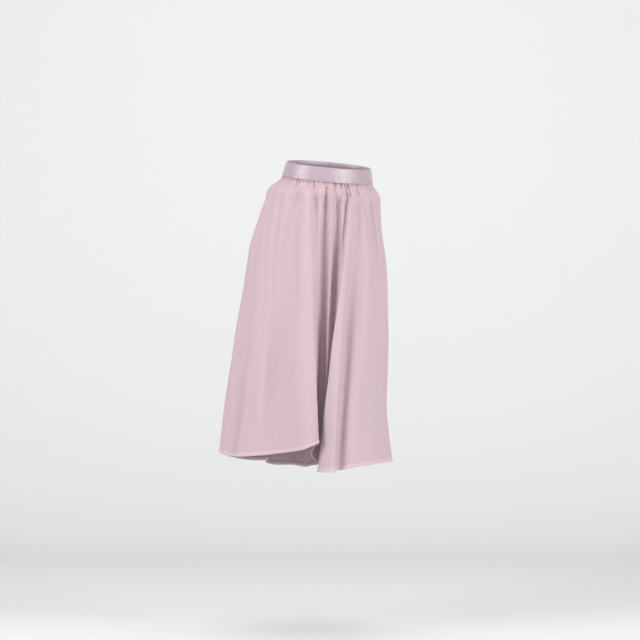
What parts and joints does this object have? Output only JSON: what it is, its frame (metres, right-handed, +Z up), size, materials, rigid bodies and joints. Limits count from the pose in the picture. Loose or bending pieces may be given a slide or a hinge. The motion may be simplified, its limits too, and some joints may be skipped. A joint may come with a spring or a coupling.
{
  "type": "gathered dance skirt",
  "caption": "Pull-on mid-calf dance skirt, hanging as worn: satin elastic waistband with a full chiffon skirt gathered to it, in deep soft folds.",
  "frame": {"origin": "middle of the waistband's top edge, on the waist's axis, where the wearer's waist holds the skirt", "axes": "+Z up, -Y to the wearer's front, +X to the wearer's left"},
  "size_m": [0.4047, 0.4031, 0.7116],
  "materials": {
    "satin_elastic": "satin-faced woven elastic, dusty mauve, soft shine",
    "chiffon": "matt crepe chiffon, dusty mauve-pink, slightly sheer, with a narrow rolled hem"
  },
  "bodies": {
    "root": {"waistband": "satin_elastic", "skirt_front": "chiffon", "skirt_back": "chiffon"}
  },
  "joints": []
}
